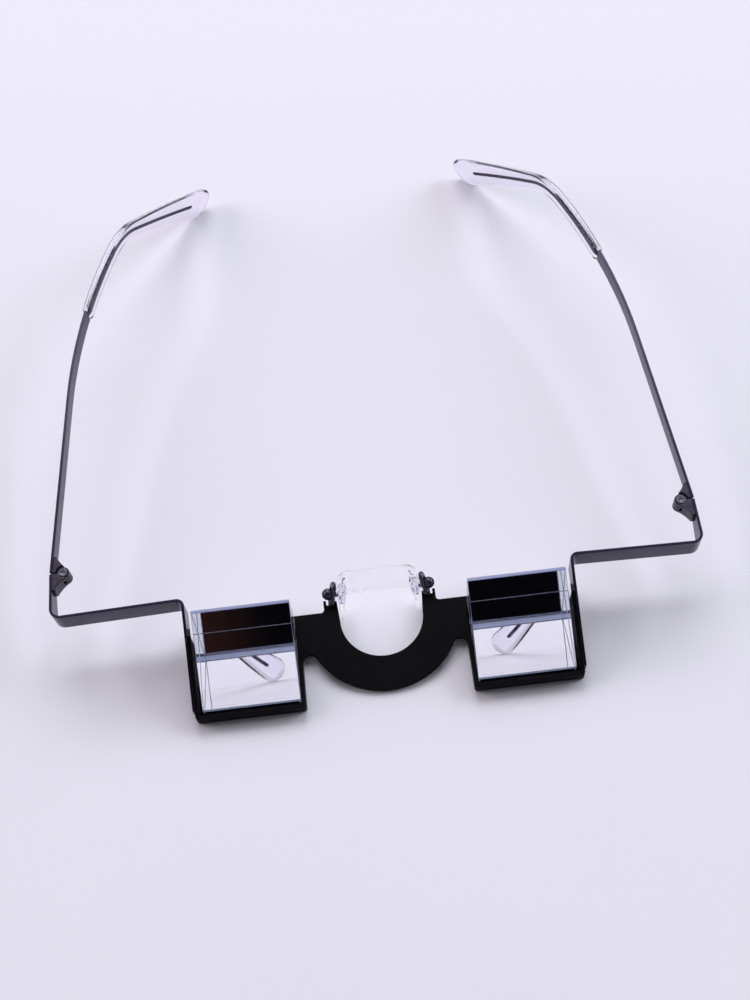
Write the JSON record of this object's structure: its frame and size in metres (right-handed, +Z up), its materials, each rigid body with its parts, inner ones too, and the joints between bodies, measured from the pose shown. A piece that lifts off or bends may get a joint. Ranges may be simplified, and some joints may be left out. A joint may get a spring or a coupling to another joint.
{
  "type": "prism spectacles",
  "caption": "Spectacles with mirrored glass prisms in a sheet metal front, hinged flat strip temples with clear tips, and a clear saddle nose pad.",
  "frame": {"origin": "middle of the resting part's box, on the surface that it lies on", "axes": "+X across the face, +Y from the prisms towards the ears, +Z up from the surface"},
  "size_m": [0.1534, 0.1711, 0.027],
  "materials": {
    "front_paint": "satin black paint",
    "strip_metal": "satin dark grey-violet coat on spring strip",
    "hinge_metal": "satin dark grey-violet coat",
    "screw_steel": "turned steel head",
    "screw_black": "blackened steel",
    "prism_glass": "polished faces, ground edges",
    "mirror_coat": "silvered, with a black back",
    "glue": "cured adhesive",
    "tip_plastic": "clear moulded plastic",
    "insert_plastic": "clear moulded plastic",
    "silicone": "clear soft silicone"
  },
  "bodies": {
    "frame": {"front_frame": "front_paint", "left_prism": "prism_glass", "right_prism": "prism_glass", "left_prism_mirror": "mirror_coat", "right_prism_mirror": "mirror_coat", "left_prism_glue": "glue", "right_prism_glue": "glue", "left_end_piece": "strip_metal", "right_end_piece": "strip_metal", "left_hinge_front_leaf": "hinge_metal", "right_hinge_front_leaf": "hinge_metal", "left_hinge_screw": "screw_steel", "right_hinge_screw": "screw_steel", "left_pad_eyelet": "front_paint", "right_pad_eyelet": "front_paint", "left_pad_screw": "screw_black", "right_pad_screw": "screw_black"},
    "left_temple": {"left_hinge_temple_leaf": "hinge_metal", "left_temple": "strip_metal", "left_temple_tip": "tip_plastic"},
    "right_temple": {"right_hinge_temple_leaf": "hinge_metal", "right_temple": "strip_metal", "right_temple_tip": "tip_plastic"},
    "nose_pad": {"left_pad_insert": "insert_plastic", "right_pad_insert": "insert_plastic", "nose_pad": "silicone"}
  },
  "joints": [
    {"name": "left_temple_fold", "type": "hinge", "parent": "frame", "child": "left_temple", "pos_m": [-0.0734, -0.04976, 0.01475], "axis": [0, 0.103, -0.9947], "range_deg": [-4.5, 79]},
    {"name": "right_temple_fold", "type": "hinge", "parent": "frame", "child": "right_temple", "pos_m": [0.0734, -0.04976, 0.01475], "axis": [0, -0.103, 0.9947], "range_deg": [-4.5, 65]},
    {"name": "nose_pad_rock", "type": "hinge", "parent": "frame", "child": "nose_pad", "pos_m": [0, -0.05823, 0.00533], "axis": [1, 0, 0], "range_deg": [-10, 10]}
  ]
}
